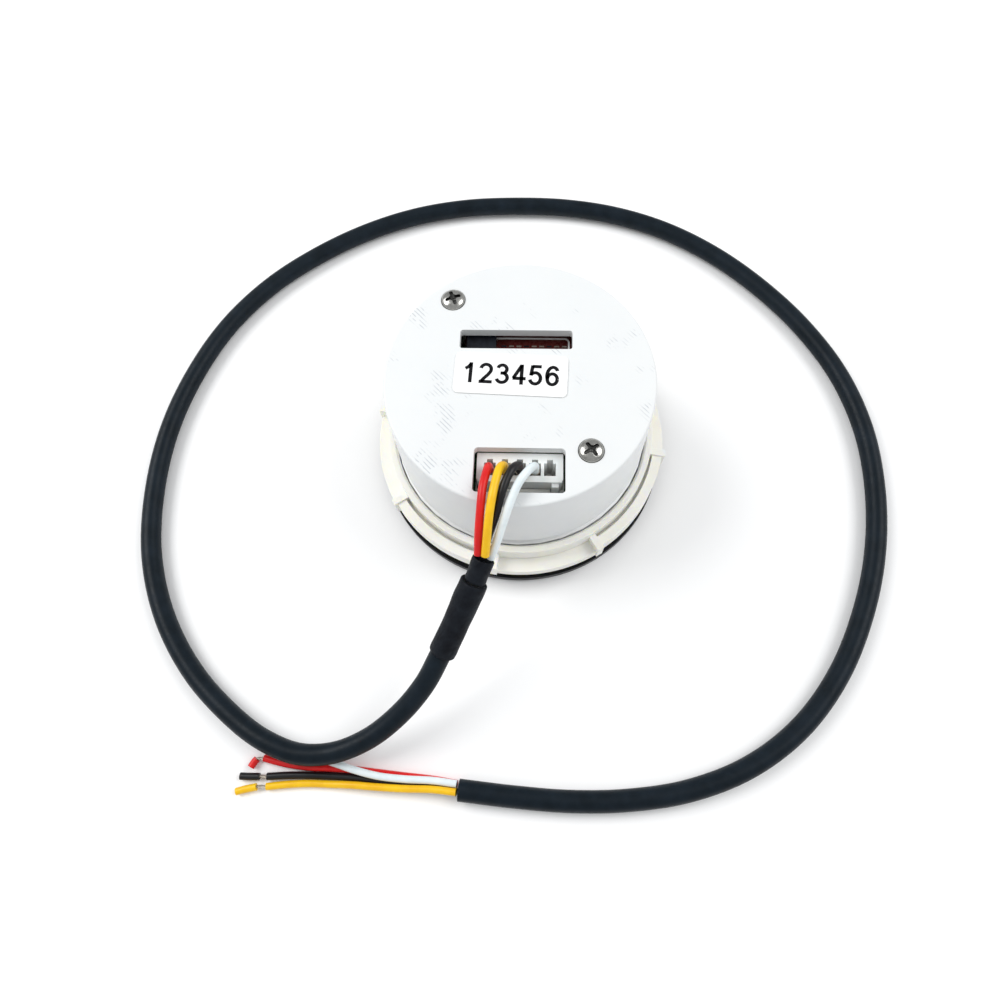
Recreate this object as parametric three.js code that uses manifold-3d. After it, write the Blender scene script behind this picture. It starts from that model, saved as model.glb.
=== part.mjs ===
// Round panel-mount battery monitor display, lying on its front with its cable plugged in.
// Millimetres, +Z up. The front of the bezel is at z = 0 and the body's axis is the Z axis.
import * as THREE from 'three';
import { mergeVertices } from 'three/addons/utils/BufferGeometryUtils.js';
import Module from 'manifold-3d';

const wasm = await Module();
wasm.setup();

// ---------- driving dimensions ----------
const ROUND = 72;                // facets round the body
const SMALL_ROUND = 20;          // facets round screws and posts
const THREAD_ROUND = 36;         // facets in one turn of the thread
const RUNNING_GAP = 0.15;        // between pieces that slide or turn on each other
const REST_GAP = 0.3;            // between pieces that only meet

const BEZEL_R = 28.2;
const BEZEL_T = 2.0;
const BEZEL_LIP_R = 19.0;
const BEZEL_POCKET_R = 20.6;
const BEZEL_LIP_T = 0.8;
const BEZEL_LAND_R = 26.9; // outside this radius nothing lies on the bezel's back

const BARREL_Z0 = BEZEL_T + 0.2;
const BARREL_Z1 = 12.4;
const BARREL_R = 23.3;
const BARREL_BORE_R = 21.6;
const BARREL_FLOOR_T = 1.2;
const BARREL_FLOOR_R = 17.2;
const SPIGOT_R = 21.55;
const SPIGOT_BORE_R = 20.4;
const SPIGOT_Z1 = 16.5;
const THREAD_PITCH = 2.0;
const THREAD_CREST_R = 24.0;

const COVER_Z0 = BARREL_Z1 + REST_GAP;
const COVER_Z1 = 30.0;
const COVER_TOP_R = 23.4;
const COVER_FOOT_R = 23.8;
const COVER_BORE_R = 21.8;
const COVER_TOP_T = 1.8;
const COVER_EDGE = 0.5;

const RING_Z0 = 2.8;
const RING_NECK_R = 26.0;        // the foot that clamps the panel
const RING_RIM_Z0 = 4.8;
const RING_RIM_Z1 = 7.0;
const RING_Z1 = 11.2;
const WASHER_R = 26.6;
const RING_BORE_R = THREAD_CREST_R + RUNNING_GAP;
const RING_GROOVE_R = 24.6;
const RING_COLLAR_R = 25.6;
const RING_RIM_R = 27.6;
const RING_LOW_R = 28.2;         // the rim where it is low, between two ribs
const RING_GRIP_IN_R = 26.4;
const RING_GRIP_R = 28.0;
const RING_GRIP_Z1 = 8.8;
const RING_RIB_R = 28.6;
const RING_SECTORS = 4;
const RING_RECESS_DEG = 42;
const RING_FIRST_DEG = -78;
const RING_RIB_W = 1.3;
const RING_RIB_Z1 = 9.2;

const SCREWS = [[-12.1, 15.5], [12.1, -13.4]];
const SCREW_HEAD_R = 2.1;
const SCREW_HEAD_T = 1.4;
const SCREW_SHANK_R = 0.9;
const SCREW_LENGTH = 9.0;
const COUNTERBORE_T = 0.6;
const POST_R = 1.9;
const POST_HOLE_R = 1.1;

const SLOT = { x: -0.7, y: 7.5, length: 19.6, width: 3.7 };
const CUTOUT = { x: 0.4, y0: -20.9, y1: -13.1, length: 15.1 };
const LABEL = { x: -1.45, y: 0.5, length: 19.4, width: 7.9, thickness: 0.2, turn: -2.3 };

const PIN_PITCH = 2.5;
const PIN_COUNT = 5;
const PLUG_X = 0.45;
const PLUG_Y = -15.9;
const PLUG = { length: 14.0, width: 4.8, z0: 19.2, z1: 28.0 };
const CAVITY = { width: 1.95, height: 2.2, y: -16.05 };
const HEADER = { length: 14.9, width: 6.2, z0: 18.25, z1: 25.2, floor: 0.8 };
const PIN_SIDE = 0.64;
const CRIMP = { side: 1.6, bore: 1.0, z0: 19.6, z1: 26.9 };

const BOARD_T = 1.6;
const REAR_BOARD_Z = SPIGOT_Z1 + 0.1;
const FRONT_BOARD_Z = 7.0;
const BOARD_R = 20.9;

const WIRE_R = 0.65;
const STRAND_R = 0.3;
const JACKET_R = 1.9;
const INNER_SLEEVE_R = 1.85;
const OUTER_SLEEVE_R = 2.35;

// ---------- materials ----------
const finish = (color, roughness, metalness = 0) =>
  new THREE.MeshStandardMaterial({ color, roughness, metalness });
const COVER_WHITE = finish(0xf1f4f6, 0.5);
const RING_NATURAL = finish(0xe9e7d8, 0.4);
const BEZEL_BLACK = finish(0x121416, 0.35);
const WINDOW_CLEAR = finish(0x20242a, 0.05);
const DISPLAY_GREY = finish(0x39413c, 0.2);
const FRAME_WHITE = finish(0xe4e4e0, 0.5);
const BOARD_GREEN = finish(0x2f6b3a, 0.45);
const BOARD_RED = finish(0x6b1f1a, 0.4);
const CHIP_BLACK = finish(0x16181b, 0.5);
const WASHER_NYLON = finish(0x1a1c1d, 0.5);
const SCREW_STEEL = finish(0xb9b8b4, 0.3, 1);
const TIN = finish(0xc9c6bc, 0.35, 1);
const PAPER_WHITE = finish(0xf7f7f5, 0.6);
const NYLON_CREAM = finish(0xe6e3d6, 0.45);
const PVC_RED = finish(0xc8191c, 0.4);
const PVC_YELLOW = finish(0xf0bc18, 0.4);
const PVC_BLACK = finish(0x17181a, 0.4);
const PVC_WHITE = finish(0xe8eff0, 0.4);
const SLEEVE_BLACK = finish(0x15171b, 0.7);
const JACKET_BLACK = finish(0x171a1e, 0.5);

// ---------- solids ----------
function toSolid(geometry) {
  const bare = geometry.index ? geometry.clone() : geometry;
  bare.deleteAttribute('normal');
  bare.deleteAttribute('uv');
  const merged = mergeVertices(bare, 1e-5);
  const vertProperties = new Float32Array(merged.attributes.position.array);
  const triVerts = new Uint32Array(merged.index.array);
  return new wasm.Manifold(new wasm.Mesh({ numProp: 3, vertProperties, triVerts }));
}

function toGeometry(solid) {
  const mesh = solid.getMesh();
  const geometry = new THREE.BufferGeometry();
  geometry.setAttribute('position', new THREE.BufferAttribute(new Float32Array(mesh.vertProperties), 3));
  geometry.setIndex(new THREE.BufferAttribute(new Uint32Array(mesh.triVerts), 1));
  geometry.computeVertexNormals();
  return geometry;
}

function box(x0, x1, y0, y1, z0, z1) {
  const geometry = new THREE.BoxGeometry(x1 - x0, y1 - y0, z1 - z0);
  geometry.translate((x0 + x1) / 2, (y0 + y1) / 2, (z0 + z1) / 2);
  return geometry;
}

function disc(x, y, z0, z1, radius, facets) {
  const geometry = new THREE.CylinderGeometry(radius, radius, z1 - z0, facets);
  geometry.rotateX(Math.PI / 2);
  geometry.translate(x, y, (z0 + z1) / 2);
  return geometry;
}

// A closed profile of [radius, z] points, counter-clockwise, turned about the Z axis.
function turned(profile, facets) {
  const points = [...profile, profile[0]].map(([radius, z]) => new THREE.Vector2(radius, z));
  const geometry = new THREE.LatheGeometry(points, facets);
  geometry.rotateX(Math.PI / 2);
  return geometry;
}

function roundedPlate(length, width, corner, z0, z1) {
  const shape = new THREE.Shape();
  const half = [length / 2 - corner, width / 2 - corner];
  const corners = [[1, -1, -90], [1, 1, 0], [-1, 1, 90], [-1, -1, 180]];
  for (const [sx, sy, start] of corners) {
    const a = THREE.MathUtils.degToRad(start);
    shape.absarc(sx * half[0], sy * half[1], corner, a, a + Math.PI / 2, false);
  }
  shape.closePath();
  const options = { depth: z1 - z0, bevelEnabled: false, curveSegments: 4 };
  const geometry = new THREE.ExtrudeGeometry(shape, options);
  geometry.translate(0, 0, z0);
  return geometry;
}

function roundedPlateAt(x, y, length, width, corner, z0, z1) {
  const geometry = roundedPlate(length, width, corner, z0, z1);
  geometry.translate(x, y, 0);
  return geometry;
}

function routeCurve(points) {
  const route = points.map(([x, y, z]) => new THREE.Vector3(x, y, z));
  return new THREE.CatmullRomCurve3(route, false, 'centripetal');
}

function tube(points, radius, sides, steps) {
  const section = new THREE.Shape();
  for (let i = 0; i < sides; i++) {
    const a = (2 * Math.PI * (i + 0.5)) / sides;
    const x = radius * Math.cos(a);
    const y = radius * Math.sin(a);
    if (i === 0) section.moveTo(x, y);
    else section.lineTo(x, y);
  }
  section.closePath();
  return new THREE.ExtrudeGeometry(section, { steps, extrudePath: routeCurve(points), bevelEnabled: false });
}

const model = new THREE.Group();

function add(name, geometry, material) {
  const mesh = new THREE.Mesh(geometry, material);
  mesh.name = name;
  model.add(mesh);
  return mesh;
}

// ---------- front: bezel, window and display ----------
function buildFront() {
  const edge = 0.45;
  add('front_bezel', turned([
    [BEZEL_LIP_R, 0],
    [BEZEL_R - edge, 0],
    [BEZEL_R - 0.3 * edge, 0.3 * edge],
    [BEZEL_R, edge],
    [BEZEL_R, BEZEL_T - 0.2],
    [BEZEL_R - 0.2, BEZEL_T],
    [BEZEL_LAND_R, BEZEL_T],
    [BEZEL_POCKET_R, BEZEL_T],
    [BEZEL_POCKET_R, BEZEL_LIP_T],
    [BEZEL_LIP_R, BEZEL_LIP_T],
  ], ROUND), BEZEL_BLACK);
  add('front_window', disc(0, 0, BEZEL_LIP_T + 0.1, BEZEL_T - 0.05, BEZEL_POCKET_R - 0.2, ROUND), WINDOW_CLEAR);

  const panelZ = BARREL_Z0 + 0.1;
  const frameZ1 = FRONT_BOARD_Z - REST_GAP;
  add('display_panel', box(-14, 14, -10, 10, panelZ, panelZ + 2.0), DISPLAY_GREY);
  const frame = toSolid(box(-15, 15, -11, 11, panelZ, frameZ1));
  const pocket = toSolid(box(-14.2, 14.2, -10.2, 10.2, panelZ - 1, panelZ + 2.2));
  const wiring = toSolid(box(-6, 6, -6, 6, panelZ, frameZ1 + 1));
  add('display_frame', toGeometry(frame.subtract(pocket).subtract(wiring)), FRAME_WHITE);
}

// ---------- barrel: threaded tube with the two screw posts ----------
function helixRidge(rootR, crestR, z0, z1, pitch, flank, crest) {
  // A thread ridge: a trapezium carried round the axis, station by station.
  const turns = (z1 - z0) / pitch;
  const stations = Math.round(turns * THREAD_ROUND);
  const section = [[rootR, -flank], [crestR, -crest], [crestR, crest], [rootR, flank]];
  const positions = [];
  for (let i = 0; i <= stations; i++) {
    const angle = (2 * Math.PI * i) / THREAD_ROUND;
    const z = z0 + (pitch * i) / THREAD_ROUND;
    for (const [radius, dz] of section) {
      positions.push(radius * Math.cos(angle), radius * Math.sin(angle), z + dz);
    }
  }
  const faces = [0, 1, 2, 0, 2, 3];
  const n = section.length;
  for (let i = 0; i < stations; i++) {
    for (let k = 0; k < n; k++) {
      const a = i * n + k;
      const b = i * n + ((k + 1) % n);
      faces.push(a, a + n, b, b, a + n, b + n);
    }
  }
  const last = stations * n;
  faces.push(last, last + 2, last + 1, last, last + 3, last + 2);
  const geometry = new THREE.BufferGeometry();
  geometry.setAttribute('position', new THREE.BufferAttribute(new Float32Array(positions), 3));
  geometry.setIndex(faces);
  return geometry;
}

function buildBarrel() {
  const floorZ = BARREL_Z0 + BARREL_FLOOR_T;
  let barrel = toSolid(turned([
    [BARREL_FLOOR_R, BARREL_Z0],
    [BARREL_R, BARREL_Z0],
    [BARREL_R, BARREL_Z1],
    [SPIGOT_R, BARREL_Z1],
    [SPIGOT_R, SPIGOT_Z1],
    [SPIGOT_BORE_R, SPIGOT_Z1],
    [SPIGOT_BORE_R, BARREL_Z1 - 1.6],
    [BARREL_BORE_R, BARREL_Z1 - 2.8],
    [BARREL_BORE_R, floorZ],
    [BARREL_FLOOR_R, floorZ],
  ], ROUND));
  const seat = toSolid(box(-15.3, 15.3, -11.3, 11.3, BARREL_Z0 - 1, floorZ + 1));
  barrel = barrel.subtract(seat);
  const sink = 0.2;
  const threadZ0 = BARREL_Z0 + 1.0;
  const ridge = helixRidge(BARREL_R - sink, THREAD_CREST_R, threadZ0, BARREL_Z1 - 0.8, THREAD_PITCH, 0.62, 0.2);
  barrel = barrel.add(toSolid(ridge));
  for (const [x, y] of SCREWS) {
    const post = toSolid(disc(x, y, floorZ - 0.3, COVER_Z1 - COVER_TOP_T - 0.25, POST_R, SMALL_ROUND));
    const hole = toSolid(disc(x, y, COVER_Z1 - SCREW_LENGTH - 2.0, COVER_Z1, POST_HOLE_R, SMALL_ROUND));
    const web = box(POST_HOLE_R + 15, BARREL_BORE_R + 0.2, -0.6, 0.6, floorZ - 0.3, BARREL_Z1 - 1.0);
    web.rotateZ(Math.atan2(y, x));
    barrel = barrel.add(post).add(toSolid(web)).subtract(hole);
  }
  add('housing_barrel', toGeometry(barrel), FRAME_WHITE);
}

// ---------- lock ring and slip washer ----------
function sector(innerR, outerR, fromDeg, spanDeg, z0, z1) {
  const shape = new THREE.Shape();
  const a0 = THREE.MathUtils.degToRad(fromDeg);
  const a1 = THREE.MathUtils.degToRad(fromDeg + spanDeg);
  shape.absarc(0, 0, outerR, a0, a1, false);
  shape.absarc(0, 0, innerR, a1, a0, true);
  shape.closePath();
  const curveSegments = Math.ceil((ROUND * spanDeg) / 360);
  const geometry = new THREE.ExtrudeGeometry(shape, { depth: z1 - z0, bevelEnabled: false, curveSegments });
  geometry.translate(0, 0, z0);
  return geometry;
}

function buildRing() {
  const chamfer = 0.3;
  let ring = toSolid(turned([
    [RING_BORE_R, RING_Z0],
    [RING_NECK_R, RING_Z0],
    [RING_NECK_R, RING_RIM_Z0],
    [RING_RIM_R - chamfer, RING_RIM_Z0],
    [RING_RIM_R, RING_RIM_Z0 + chamfer],
    [RING_RIM_R, RING_RIM_Z1 - chamfer],
    [RING_RIM_R - chamfer, RING_RIM_Z1],
    [RING_COLLAR_R, RING_RIM_Z1],
    [RING_COLLAR_R, RING_Z1 - chamfer],
    [RING_COLLAR_R - chamfer, RING_Z1],
    [RING_GROOVE_R, RING_Z1],
    [RING_BORE_R, RING_Z1 - 0.5],
  ], ROUND));
  const sectorSpan = 360 / RING_SECTORS;
  for (let i = 0; i < RING_SECTORS; i++) {
    const lowFrom = RING_FIRST_DEG + sectorSpan * i - RING_RECESS_DEG / 2;
    const gripFrom = lowFrom + RING_RECESS_DEG;
    const low = sector(RING_RIM_R - 0.8, RING_LOW_R, lowFrom, RING_RECESS_DEG, RING_RIM_Z0, RING_RIM_Z1);
    const gripSpan = sectorSpan - RING_RECESS_DEG;
    const grip = sector(RING_GRIP_IN_R, RING_GRIP_R, gripFrom, gripSpan, RING_RIM_Z0 + chamfer, RING_GRIP_Z1);
    ring = ring.add(toSolid(low)).add(toSolid(grip));
    for (const angle of [lowFrom, gripFrom]) {
      const half = RING_RIB_W / 2;
      const rib = box(RING_COLLAR_R - 0.5, RING_RIB_R, -half, half, RING_RIM_Z0 + 0.1, RING_RIB_Z1);
      rib.rotateZ(THREE.MathUtils.degToRad(angle));
      ring = ring.add(toSolid(rib));
    }
  }
  for (const k of [0, 1, 2]) {
    const z = RING_Z0 + 1.6 + THREAD_PITCH * k;
    const groove = turned([
      [RING_BORE_R - 0.5, z - 0.7],
      [RING_GROOVE_R, z - 0.2],
      [RING_GROOVE_R, z + 0.2],
      [RING_BORE_R - 0.5, z + 0.7],
    ], ROUND);
    ring = ring.subtract(toSolid(groove));
  }
  add('lock_ring', toGeometry(ring), RING_NATURAL);
}

function buildWasher() {
  const z0 = BEZEL_T + 0.15;
  const z1 = RING_Z0 - 0.15;
  const profile = [[RING_BORE_R, z0], [WASHER_R, z0], [WASHER_R, z1], [RING_BORE_R, z1]];
  add('slip_washer', turned(profile, ROUND), WASHER_NYLON);
}

// ---------- rear cover, screws and label ----------
function buildCover() {
  const inner = COVER_Z1 - COVER_TOP_T;
  let cover = toSolid(turned([
    [COVER_BORE_R, COVER_Z0],
    [COVER_FOOT_R, COVER_Z0],
    [COVER_TOP_R, COVER_Z1 - COVER_EDGE],
    [COVER_TOP_R - 0.3 * COVER_EDGE, COVER_Z1 - 0.3 * COVER_EDGE],
    [COVER_TOP_R - COVER_EDGE, COVER_Z1],
    [COVER_BORE_R - 1, COVER_Z1],
    [COVER_BORE_R - 1, inner],
    [COVER_BORE_R, inner],
  ], ROUND));
  cover = cover.add(toSolid(disc(0, 0, inner, COVER_Z1, COVER_BORE_R - 0.5, ROUND)));
  const slot = roundedPlateAt(SLOT.x, SLOT.y, SLOT.length, SLOT.width, 0.5, inner - 1, COVER_Z1 + 1);
  cover = cover.subtract(toSolid(slot));
  const cutoutY = (CUTOUT.y0 + CUTOUT.y1) / 2;
  const cutoutW = CUTOUT.y1 - CUTOUT.y0;
  const cutout = roundedPlateAt(CUTOUT.x, cutoutY, CUTOUT.length, cutoutW, 0.7, inner - 1, COVER_Z1 + 1);
  cover = cover.subtract(toSolid(cutout));
  for (const [x, y] of SCREWS) {
    const through = disc(x, y, inner - 1, COVER_Z1 + 1, 1.3, SMALL_ROUND);
    const counterbore = disc(x, y, COVER_Z1 - COUNTERBORE_T, COVER_Z1 + 1, SCREW_HEAD_R + 0.3, SMALL_ROUND);
    cover = cover.subtract(toSolid(through)).subtract(toSolid(counterbore));
  }
  add('rear_cover', toGeometry(cover), COVER_WHITE);
}

function buildScrews() {
  const seat = COVER_Z1 - COUNTERBORE_T + 0.05;
  const top = seat + SCREW_HEAD_T;
  SCREWS.forEach(([x, y], i) => {
    const profile = [
      [0, seat - SCREW_LENGTH],
      [0.4, seat - SCREW_LENGTH + 0.2],
      [SCREW_SHANK_R, seat - SCREW_LENGTH + 1.4],
      [SCREW_SHANK_R, seat],
      [SCREW_HEAD_R, seat],
      [SCREW_HEAD_R, seat + 0.6],
      [SCREW_HEAD_R - 0.35, top - 0.25],
      [SCREW_HEAD_R - 1.0, top],
      [0, top],
    ].map(([radius, z]) => new THREE.Vector2(radius, z));
    const blank = new THREE.LatheGeometry(profile, SMALL_ROUND);
    blank.rotateX(Math.PI / 2);
    let screw = toSolid(blank);
    for (const quarter of [0, 1]) {
      const blade = box(-1.15, 1.15, -0.25, 0.25, top - 0.8, top + 1);
      blade.rotateZ(THREE.MathUtils.degToRad(35 + 90 * quarter));
      screw = screw.subtract(toSolid(blade));
    }
    add(`cover_screw_${i + 1}`, toGeometry(screw), SCREW_STEEL).position.set(x, y, 0);
  });
}

function buildLabel() {
  const plate = roundedPlate(LABEL.length, LABEL.width, 0.9, 0, LABEL.thickness);
  const label = add('number_label', plate, PAPER_WHITE);
  label.position.set(LABEL.x, LABEL.y, COVER_Z1 + 0.03);
  label.rotation.z = THREE.MathUtils.degToRad(LABEL.turn);
}

// ---------- boards ----------
function postClearance(z0, z1) {
  const holes = SCREWS.map(([x, y]) => toSolid(disc(x, y, z0 - 1, z1 + 1, POST_R + 0.25, SMALL_ROUND)));
  return holes[0].add(holes[1]);
}

function buildBoards() {
  const frontTop = FRONT_BOARD_Z + BOARD_T;
  const front = toSolid(disc(0, 0, FRONT_BOARD_Z, frontTop, BOARD_R, ROUND));
  let webs = postClearance(FRONT_BOARD_Z, frontTop);
  for (const [x, y] of SCREWS) {
    const notch = box(14, 24, -0.9, 0.9, FRONT_BOARD_Z - 1, frontTop + 1);
    notch.rotateZ(Math.atan2(y, x));
    webs = webs.add(toSolid(notch));
  }
  add('front_board', toGeometry(front.subtract(webs)), BOARD_GREEN);

  const rearTop = REAR_BOARD_Z + BOARD_T;
  const rear = toSolid(disc(0, 0, REAR_BOARD_Z, rearTop, BOARD_R, ROUND));
  const pins = pinXs().map((x) => {
    const half = PIN_SIDE / 2 + 0.1;
    return toSolid(box(x - half, x + half, CAVITY.y - half, CAVITY.y + half, REAR_BOARD_Z - 1, rearTop + 1));
  });
  let drilled = rear.subtract(postClearance(REAR_BOARD_Z, rearTop));
  for (const pin of pins) drilled = drilled.subtract(pin);
  add('rear_board', toGeometry(drilled), BOARD_GREEN);

  const linkZ0 = frontTop + 0.05;
  add('board_link', box(-14, -1.5, -9.5, -7, linkZ0, REAR_BOARD_Z - 0.05), CHIP_BLACK);
  const daughterZ = 25.2;
  add('radio_board', box(-9.9, 9.6, 5.4, 14.4, daughterZ, daughterZ + 1.0), BOARD_RED);
  add('radio_link', box(-8.5, 8.2, 11.4, 13.9, rearTop + 0.05, daughterZ - 0.05), CHIP_BLACK);
  add('radio_module', box(-9.6, -4.3, 6.2, 12.2, daughterZ + 1.05, daughterZ + 2.4), CHIP_BLACK);
}

// ---------- connector ----------
function pinXs() {
  return Array.from({ length: PIN_COUNT }, (_, i) => PLUG_X + PIN_PITCH * (i - (PIN_COUNT - 1) / 2));
}

const KEY_XS = [PLUG_X - 5.9, PLUG_X + 5.9];
const KEY = { width: 1.2, depth: 0.7 };

function buildHeader() {
  const x0 = PLUG_X - HEADER.length / 2;
  const x1 = PLUG_X + HEADER.length / 2;
  const y0 = PLUG_Y - HEADER.width / 2;
  const y1 = PLUG_Y + HEADER.width / 2;
  const inner = box(
    PLUG_X - PLUG.length / 2 - RUNNING_GAP, PLUG_X + PLUG.length / 2 + RUNNING_GAP,
    PLUG_Y - PLUG.width / 2 - RUNNING_GAP, PLUG_Y + PLUG.width / 2 + RUNNING_GAP,
    HEADER.z0 + HEADER.floor, HEADER.z1 + 1);
  let header = toSolid(box(x0, x1, y0, y1, HEADER.z0, HEADER.z1)).subtract(toSolid(inner));
  for (const x of KEY_XS) {
    const half = KEY.width / 2 + RUNNING_GAP;
    const keyway = box(x - half, x + half, y0 - 1, PLUG_Y, HEADER.z0 + 1.4, HEADER.z1 + 1);
    header = header.subtract(toSolid(keyway));
  }
  for (const x of pinXs()) {
    const half = PIN_SIDE / 2 + 0.1;
    const hole = box(x - half, x + half, CAVITY.y - half, CAVITY.y + half, HEADER.z0 - 1, HEADER.z1);
    header = header.subtract(toSolid(hole));
  }
  add('board_header', toGeometry(header), NYLON_CREAM);
  pinXs().forEach((x, i) => {
    const half = PIN_SIDE / 2;
    const pin = box(x - half, x + half, CAVITY.y - half, CAVITY.y + half, REAR_BOARD_Z - 1.2, HEADER.z1 - 1.2);
    add(`header_pin_${i + 1}`, pin, TIN);
  });
}

function buildPlug() {
  const y0 = PLUG_Y - PLUG.width / 2;
  const y1 = PLUG_Y + PLUG.width / 2;
  let plug = toSolid(box(PLUG_X - PLUG.length / 2, PLUG_X + PLUG.length / 2, y0, y1, PLUG.z0, PLUG.z1));
  for (const x of KEY_XS) {
    const halfKey = KEY.width / 2;
    const key = box(x - halfKey, x + halfKey, y0 - KEY.depth, y0 + 0.5, HEADER.z0 + 1.7, PLUG.z1 - 2.2);
    plug = plug.add(toSolid(key));
  }
  for (const x of pinXs()) {
    const half = CAVITY.width / 2;
    const cavity = box(x - half, x + half, CAVITY.y - CAVITY.height / 2, CAVITY.y + CAVITY.height / 2,
      PLUG.z0 - 1, PLUG.z1 + 1);
    const latchTop = CAVITY.y + CAVITY.height / 2 + 0.65;
    const latch = box(x - 0.5, x + 0.5, CAVITY.y, latchTop, PLUG.z0 + 3, PLUG.z1 + 1);
    plug = plug.subtract(toSolid(cavity)).subtract(toSolid(latch));
  }
  add('plug_housing', toGeometry(plug), NYLON_CREAM);
}

const WIRES = ['red', 'yellow', 'black', 'white'];
const WIRE_FINISH = { red: PVC_RED, yellow: PVC_YELLOW, black: PVC_BLACK, white: PVC_WHITE };

function buildCrimps() {
  WIRES.forEach((name, i) => {
    const x = pinXs()[i];
    const half = CRIMP.side / 2;
    const hole = CRIMP.bore / 2;
    const shell = toSolid(box(x - half, x + half, CAVITY.y - half, CAVITY.y + half, CRIMP.z0, CRIMP.z1));
    const bore = toSolid(box(x - hole, x + hole, CAVITY.y - hole, CAVITY.y + hole, CRIMP.z0 - 1, CRIMP.z1 - 1.6));
    add(`crimp_${name}`, toGeometry(shell.subtract(bore)), TIN);
  });
}

// ---------- cable ----------
// Routes are lists of points along each centreline.
const LEAD_ROUTES = {
  red: [[-4.55, -16.05, 27.2], [-4.65, -16.3, 29.6], [-4.9, -18.2, 31.2], [-5.3, -20.6, 31.7],
    [-5.5, -23.0, 31.3], [-5.7, -25.4, 30.1], [-5.9, -27.8, 28.2], [-6.0, -30.3, 26.0]],
  yellow: [[-2.05, -16.05, 27.2], [-2.15, -16.2, 29.8], [-2.7, -17.4, 31.7], [-3.3, -20.0, 32.3],
    [-3.8, -22.9, 32.1], [-4.2, -25.6, 30.9], [-4.5, -28.2, 28.9], [-4.8, -30.6, 26.5]],
  black: [[0.45, -16.05, 27.2], [0.35, -16.2, 30.0], [-0.6, -17.4, 31.7], [-1.6, -19.5, 31.9],
    [-2.4, -22.0, 31.4], [-3.1, -24.5, 29.9], [-4.2, -27.0, 27.3], [-5.4, -29.7, 24.75]],
  white: [[2.95, -16.05, 27.2], [2.85, -16.3, 30.0], [1.7, -17.9, 31.5], [0.4, -20.0, 31.9],
    [-0.8, -22.8, 31.3], [-1.8, -25.5, 30.0], [-2.9, -28.3, 27.6], [-4.0, -30.6, 25.1]],
};
const INNER_SLEEVE_ROUTE = [[-5.1, -30.75, 25.3], [-5.7, -32.1, 24.3], [-6.5, -33.7, 23.0]];
const OUTER_SLEEVE_ROUTE = [
  [-6.65, -34.0, 22.75], [-8.3, -37.1, 20.3], [-10.2, -40.8, 17.4], [-12.3, -44.4, 14.4],
];
const JACKET_ROUTE = [
  [-12.5, -44.65, 14.2], [-15.3, -49.3, 11.0], [-19.6, -54.1, 7.9], [-25.4, -58.5, 5.4],
  [-31.8, -61.1, 4.0], [-38.0, -61.5, 3.7], [-44.0, -59.7, 3.5], [-50.1, -56.3, 2.9],
  [-60.0, -48.1, 2.1], [-67.9, -37.4, 1.95], [-73.0, -24.9, 1.95], [-75.0, -11.3, 1.95],
  [-74.5, 2.6, 1.95], [-71.3, 15.9, 1.95], [-65.7, 28.4, 1.95], [-57.7, 38.9, 1.95],
  [-47.9, 47.3, 1.95], [-37.2, 53.9, 1.95], [-26.0, 58.5, 1.95], [-14.4, 61.0, 1.95],
  [-2.6, 61.7, 1.95], [9.2, 61.2, 1.95], [20.8, 59.0, 1.95], [32.0, 54.7, 1.95],
  [42.5, 48.1, 1.95], [52.0, 39.5, 1.95], [60.3, 29.3, 1.95], [66.7, 17.6, 1.95],
  [70.2, 4.8, 1.95], [70.7, -8.7, 1.95], [68.8, -21.8, 1.95], [64.7, -34.1, 1.95],
  [58.9, -45.1, 1.95], [51.1, -54.4, 1.95], [41.6, -61.2, 1.95], [30.9, -65.4, 1.95],
  [20.2, -67.3, 1.95], [10.0, -67.8, 1.95], [0.5, -67.4, 1.95], [-9.4, -66.6, 1.95],
];
const TAIL_ROUTES = {
  red: [[-9.75, -65.62, 1.2], [-14, -65.05, 0.85], [-19.2, -64.65, 0.7],
    [-24, -64.25, 0.7], [-28.5, -63.87, 0.7], [-33, -63.72, 0.7],
    [-37.1, -63.65, 0.7], [-41.2, -63.2, 0.7], [-45.2, -62.4, 0.7]],
  yellow: [[-9.75, -66.95, 2.85], [-14, -66.65, 2.3], [-19.2, -66.7, 1.88],
    [-24, -66.6, 1.62], [-28.5, -66.42, 1.32], [-33, -66.42, 0.8],
    [-37.1, -66.45, 0.7], [-40.7, -66.75, 0.7], [-44.1, -67.2, 0.7]],
  black: [[-9.75, -66.95, 1.1], [-14, -66.4, 0.85], [-19.2, -66, 0.7],
    [-24, -65.6, 0.7], [-28.5, -65.2, 0.7], [-33, -65.05, 0.7],
    [-37.1, -65.05, 0.7], [-40.7, -65.2, 0.7], [-44.2, -65.5, 0.7]],
  white: [[-9.75, -65.6, 2.55], [-14, -65.2, 2.25], [-19.2, -65.12, 1.98],
    [-24, -64.75, 1.96], [-28.5, -63.8, 2.05], [-31, -63.1, 1.85],
    [-33.6, -62.45, 1.3], [-36.6, -61.9, 0.72], [-39.6, -61.5, 0.7]],
};
const SLUG_ROUTES = {
  red: [[-46.5, -62.6, 0.7], [-46.9, -63.1, 0.7], [-47.4, -64.0, 0.7]],
  yellow: [[-45.9, -67.3, 0.7], [-47.7, -67.7, 0.7], [-49.5, -68.2, 0.7]],
  black: [[-45.6, -65.55, 0.7], [-47.3, -65.6, 0.7], [-49.1, -65.6, 0.7]],
  white: [[-41.0, -61.3, 0.7], [-42.7, -61.15, 0.7], [-44.4, -61.0, 0.7]],
};
const TUBE_SIDES = 8;
const JACKET_SIDES = 8;
const END_GAP = 0.15;

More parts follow.
